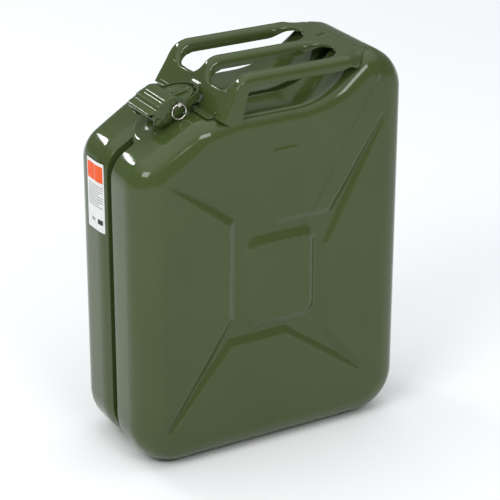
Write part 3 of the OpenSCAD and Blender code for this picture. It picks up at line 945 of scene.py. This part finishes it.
def neck_ring(angle):
    """Section of the neck at one angle, from the inner bore over the lip and down the flare."""
    c, s = math.cos(angle), math.sin(angle)
    bore = [(MOUTH_R, z) for z in (-26, -12, -4, -1.4)]
    lip = [(MOUTH_R + 1 - math.cos(a), -1 + math.sin(a)) for a in np.linspace(0.3, 2.84, 8)]
    tube = [(MOUTH_R + 2, z) for z in (-2.0, -5.0, -8.0)]
    line = [in_closure(r * c, r * s, z) for r, z in bore + lip + tube]
    top, tangent = line[-1], -AXIS_Z
    foot_x, foot_y = NECK_FOOT[0] + NECK_FOOT_R * c, NECK_FOOT[1] + NECK_FOOT_R * s
    foot = np.array([foot_x, foot_y, float(top_surface(foot_x)) - 0.3])
    slope = (float(top_surface(foot_x + 1)) - float(top_surface(foot_x - 1))) / 2
    out = np.array([c, s, slope * c])
    out /= np.linalg.norm(out)
    gap = np.linalg.norm(foot - top)
    for t in np.linspace(0, 1, 15)[1:]:
        h00, h10 = 2 * t ** 3 - 3 * t ** 2 + 1, t ** 3 - 2 * t ** 2 + t
        h01, h11 = -2 * t ** 3 + 3 * t ** 2, t ** 3 - t ** 2
        line.append(h00 * top + h10 * gap * NECK_PULL * tangent
                    + h01 * foot + h11 * gap * FOOT_PULL * out)
    for depth in (NECK_TUCK, GROOVE_BOTTOM):
        line.append(foot + out * NECK_TUCK - np.array([0, 0, depth]))
    return line


def build_neck():
    """Pressed neck that flares out of the shoulder."""
    sections = [neck_ring(2 * math.pi * i / NECK_POINTS) for i in range(NECK_POINTS)]
    verts = np.array([section[k] for k in range(len(sections[0])) for section in sections])
    faces = [f[::-1] for f in grid_faces(len(sections[0]), NECK_POINTS, closed=True)]
    mesh_object("filler_neck_flare", verts, faces, ENAMEL, nodes=["filler_neck"])


# ---------------------------------------------------------------- closure parts from the CAD


# Closure height above which the lever is its strap, and the depth of the channel in it
STRAP_LOW = 5.2
CHANNEL_DEPTH = 2.0
# Section of the channel: closure x, and the share of the depth there
CHANNEL_X = (-31.2, -30.5, -29.3, -28.6, -25.1, -24.6, -24.1, -22.0, -21.5, -20.9, -20.0)
CHANNEL_SHARE = (0.0, 0.12, 0.88, 1.0, 1.0, 0.95, 0.82, 0.18, 0.05, 0.0, 0.0)
# Half length of the channel, the run in which it ends, and its cuts across y
CHANNEL_HALF, CHANNEL_RUN = 23, 1.5
CHANNEL_Y = (-24.5, -23.0, -22.4, 22.4, 23.0, 24.5)
# Vertices closer than this count as one
SAME_POINT_M = 0.00001


def round_bends(mesh, width):
    """Widens the folds that run across the lever's strap."""
    bends = []
    for e in mesh.edges:
        run = e.verts[1].co - e.verts[0].co
        turn = math.degrees(e.calc_face_angle(0)) if len(e.link_faces) == 2 else 0
        if abs(run.y) > 0.04 and 8 < turn < 60:
            bends.append(e)
    bmesh.ops.bevel(mesh, geom=bends, offset=width * MM, offset_type="OFFSET", segments=5,
                    profile=0.5, affect="EDGES", clamp_overlap=True)


def press_channel(obj):
    """Presses the sunk channel across the lever's strap."""
    mesh = bmesh.new()
    mesh.from_mesh(obj.data)
    cuts = [(AXIS_X, in_closure(x, 0, 0)) for x in CHANNEL_X]
    cuts += [(AXIS_Y, in_closure(0, y, 0)) for y in CHANNEL_Y]
    for direction, point in cuts:
        everything = mesh.verts[:] + mesh.edges[:] + mesh.faces[:]
        bmesh.ops.bisect_plane(mesh, geom=everything, dist=SAME_POINT_M, plane_no=direction,
                               plane_co=point * MM)
    for v in mesh.verts:
        from_mouth = np.array(v.co) / MM - MOUTH
        x, y, z = from_mouth @ AXIS_X, from_mouth[1], from_mouth @ AXIS_Z
        share = np.interp(x, CHANNEL_X, CHANNEL_SHARE)
        share *= 1 - smooth((abs(y) - CHANNEL_HALF) / CHANNEL_RUN)
        if z > STRAP_LOW:
            v.co -= Vector(AXIS_Z) * float(CHANNEL_DEPTH * share) * MM
    mesh.to_mesh(obj.data)
    mesh.free()
    return sharpen(obj, CLOSURE_SHARP)


def softened(node, material, bevel=0.35, segments=2, angle=35, bend=0):
    """A copy of a CAD node with its sheared edges rounded, standing for the node."""
    source = frame["nodes"][node]
    mesh = bmesh.new()
    mesh.from_mesh(source.data)
    bmesh.ops.remove_doubles(mesh, verts=mesh.verts, dist=SAME_POINT_M)
    bmesh.ops.dissolve_limit(mesh, angle_limit=math.radians(1.0), verts=mesh.verts,
                             edges=mesh.edges)
    if bend:
        round_bends(mesh, bend)
    data = bpy.data.meshes.new(node + "_finished")
    mesh.to_mesh(data)
    mesh.free()
    data.materials.append(material)
    obj = bpy.data.objects.new(node + "_finished", data)
    bpy.context.scene.collection.objects.link(obj)
    body = source["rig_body"]
    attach(obj, body)
    edge = obj.modifiers.new("edges", "BEVEL")
    edge.width, edge.segments = bevel * MM, segments
    edge.limit_method, edge.angle_limit = "ANGLE", math.radians(angle)
    apply_modifiers(obj)
    sharpen(obj, CLOSURE_SHARP)
    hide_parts(node)
    return obj


def build_closure():
    """Every part of the closure, with rounded edges."""
    press_channel(softened("lever", ENAMEL, 0.45, 3, angle=30, bend=1.7))
    softened("hinge_ears", ENAMEL, 0.4, 2)
    softened("cap", ENAMEL, 0.7, 3)
    softened("cap_bracket", ENAMEL, 0.3, 2)
    softened("gasket_retainer", ENAMEL, 0.25, 2)
    softened("cap_gasket", RUBBER, 0.3, 2)
    softened("hinge_pin", ENAMEL, 0.45, 3)
    softened("cap_pin", ENAMEL, 0.4, 3)
    softened("cap_rivets", ENAMEL, 0.3, 2)
    softened("locking_pin", STEEL, 0.3, 2)


def dress_nodes():
    """Materials of the CAD nodes that stay as they are."""
    for node, material in (("pull_ring", RING_STEEL), ("breather_tube", STEEL)):
        mesh = frame["nodes"][node].data
        mesh.materials.clear()
        mesh.materials.append(material)


# ---------------------------------------------------------------- label


def side_x(y):
    """The rear shell's narrow side at y, where the label sits."""
    rim = SEAM_Y + GROOVE_HALF + REAR_OPENING
    return -HALF_W + slope_drop(np.maximum(y - rim, 0), *REAR_SLOPE)


LABEL_R = 1.2
# How far the film and its print lie off the shell
FILM_LIFT, PRINT_LIFT = 0.12, 0.2
# How much further from the groove the film starts than the CAD's label
LABEL_SHIFT = 7.5
LINES, LINE_PITCH, LINE_HEIGHT, LINE_SHORTER = 9, 3.1, 1.1, 7


def label_patch(name, material, y0, y1, z0, z1, lift=PRINT_LIFT, nodes=()):
    """A thin rounded patch that follows the rear shell's side."""
    r = min(LABEL_R, (y1 - y0) / 3, (z1 - z0) / 3)
    ys, zs = np.linspace(y0, y1, 15), np.array([z0, z0 + 0.3 * r, z0 + r, z1 - r, z1 - 0.3 * r, z1])
    verts = []
    for z in zs:
        inset = r - math.sqrt(max(r * r - max(r - (z - z0), r - (z1 - z), 0) ** 2, 0))
        for y in ys:
            t = y0 + inset + (y - y0) * (y1 - y0 - 2 * inset) / (y1 - y0)
            verts.append((float(side_x(t)) - lift, t, z))
    faces = [f[::-1] for f in grid_faces(len(zs), len(ys))]
    return mesh_object(name, verts, faces, material, nodes=nodes)


def build_label():
    """White sticker with plain blocks where the real one has its symbols and text."""
    y0, y1, z0, z1 = LABEL_LOW[1] + LABEL_SHIFT, LABEL_HIGH[1], LABEL_LOW[2], LABEL_HIGH[2]
    label_patch("label_film", LABEL_WHITE, y0, y1, z0, z1, FILM_LIFT, nodes=["label"])
    label_patch("label_block_a", LABEL_ORANGE, y1 - 18.5, y1 - 1.5, z1 - 24, z1 - 4)
    label_patch("label_block_b", LABEL_ORANGE, y0 + 1.8, y0 + 17.5, z1 - 24, z1 - 4)
    for i in range(LINES):
        z = z1 - 29 - LINE_PITCH * i
        short = LINE_SHORTER if i % 4 == 3 else 0
        label_patch(f"label_line_{i}", LABEL_GREY, y0 + 2.2 + short, y1 - 3, z - LINE_HEIGHT, z)
    label_patch("label_mark_a", LABEL_BLACK, y0 + 3, y0 + 13, z0 + 9, z0 + 15)
    label_patch("label_mark_b", LABEL_GREY, y0 + 19, y0 + 27, z0 + 10, z0 + 14)


# ---------------------------------------------------------------- stage, lights, camera


FLOOR_HALF_M = 14.0


def build_floor():
    """White studio floor, part of the stage and not of the object."""
    m = Nodes("studio_floor")
    m.join(m.ramp(m.noise(0.6, 2), [(0.3, (0.90, 0.90, 0.90)), (0.7, (0.93, 0.93, 0.93))]),
           m.shader.inputs["Base Color"])
    m.set(Roughness=0.8)
    mesh = bpy.data.meshes.new("studio_floor")
    s = FLOOR_HALF_M
    mesh.from_pydata([(-s, -s, 0), (s, -s, 0), (s, s, 0), (-s, s, 0)], [], [(0, 1, 2, 3)])
    mesh.materials.append(m.material)
    obj = bpy.data.objects.new("studio_floor", mesh)
    bpy.context.scene.collection.objects.link(obj)


def softbox(name, direction, distance, size, watts, aim):
    """A rectangular soft light that faces the object."""
    light = bpy.data.lights.new(name, "AREA")
    light.shape = "RECTANGLE"
    light.size, light.size_y = size
    light.energy = watts
    obj = bpy.data.objects.new(name, light)
    bpy.context.scene.collection.objects.link(obj)
    d = Vector(direction).normalized()
    obj.location = Vector(aim) + d * distance
    obj.rotation_mode = "QUATERNION"
    obj.rotation_quaternion = (-d).to_track_quat("-Z", "Y")


# Points that the lights aim at, in metres
CLOSURE_AREA = (-0.16, -0.01, 0.37)
LEFT_AREA = (0.0, 0.0, 0.30)
BODY_AREA = (0.0, 0.0, 0.25)
# Name, direction from the aim, aim, distance and size in metres, watts
SOFTBOXES = [
    ("back_strip", (-0.272, 0.832, 0.478), CLOSURE_AREA, 2.6, (0.60, 0.22), 11),
    ("left_box", (-0.69, -0.35, 0.635), LEFT_AREA, 2.8, (1.2, 0.75), 24),
    ("front_right", (-0.014, -0.81, 0.58), BODY_AREA, 2.8, (0.8, 0.6), 14),
]
WALL_LIGHT = 0.28
CEILING_LIGHT = 1.45
# The sky's brightness rises between these two heights, 0.5 being the horizon
SKY_FROM, SKY_TO = 0.45, 0.90


def build_sky(world):
    """Dim walls and a bright ceiling."""
    tree = world.node_tree
    place = tree.nodes.new("ShaderNodeTexCoord")
    parts = tree.nodes.new("ShaderNodeSeparateXYZ")
    level = tree.nodes.new("ShaderNodeMapRange")
    level.interpolation_type = "SMOOTHSTEP"
    for key, value in (("From Min", SKY_FROM), ("From Max", SKY_TO),
                       ("To Min", WALL_LIGHT), ("To Max", CEILING_LIGHT)):
        level.inputs[key].default_value = value
    tree.links.new(place.outputs["Generated"], parts.inputs[0])
    tree.links.new(parts.outputs["Z"], level.inputs["Value"])
    tree.links.new(level.outputs["Result"], tree.nodes["Background"].inputs["Strength"])


def build_lights():
    """The sky, the soft lights and the plain view transform."""
    scene = bpy.context.scene
    world = bpy.data.worlds.new("studio")
    world.use_nodes = True
    background = world.node_tree.nodes["Background"]
    background.inputs["Color"].default_value = (0.94, 0.97, 1.0, 1)
    build_sky(world)
    scene.world = world
    scene.view_settings.view_transform = "Standard"
    for name, direction, aim, distance, size, watts in SOFTBOXES:
        softbox(name, direction, distance, size, watts, aim)


# The photo's camera: its direction from the target, distance in metres, and image shift
CAMERA_AZ = math.radians(-29.373)
CAMERA_EL = math.radians(23.717)
CAMERA_DISTANCE = 2.33945
CAMERA_TARGET = Vector((0, 0, 0.2315))
CAMERA_SHIFT = (0.0161, -0.02095)


def build_camera():
    """The photo's viewpoint."""
    camera = bpy.data.cameras.new("camera")
    camera.sensor_width = 36
    camera.lens = 144
    camera.shift_x, camera.shift_y = CAMERA_SHIFT
    obj = bpy.data.objects.new("camera", camera)
    bpy.context.scene.collection.objects.link(obj)
    back = Vector((math.sin(CAMERA_AZ) * math.cos(CAMERA_EL),
                   -math.cos(CAMERA_AZ) * math.cos(CAMERA_EL), math.sin(CAMERA_EL)))
    obj.location = CAMERA_TARGET + back * CAMERA_DISTANCE
    obj.rotation_mode = "QUATERNION"
    obj.rotation_quaternion = (-back).to_track_quat("-Z", "Y")
    bpy.context.scene.camera = obj


build_camera()
build_shells()
build_handle()
build_neck()
build_closure()
dress_nodes()
build_label()
build_floor()
build_lights()
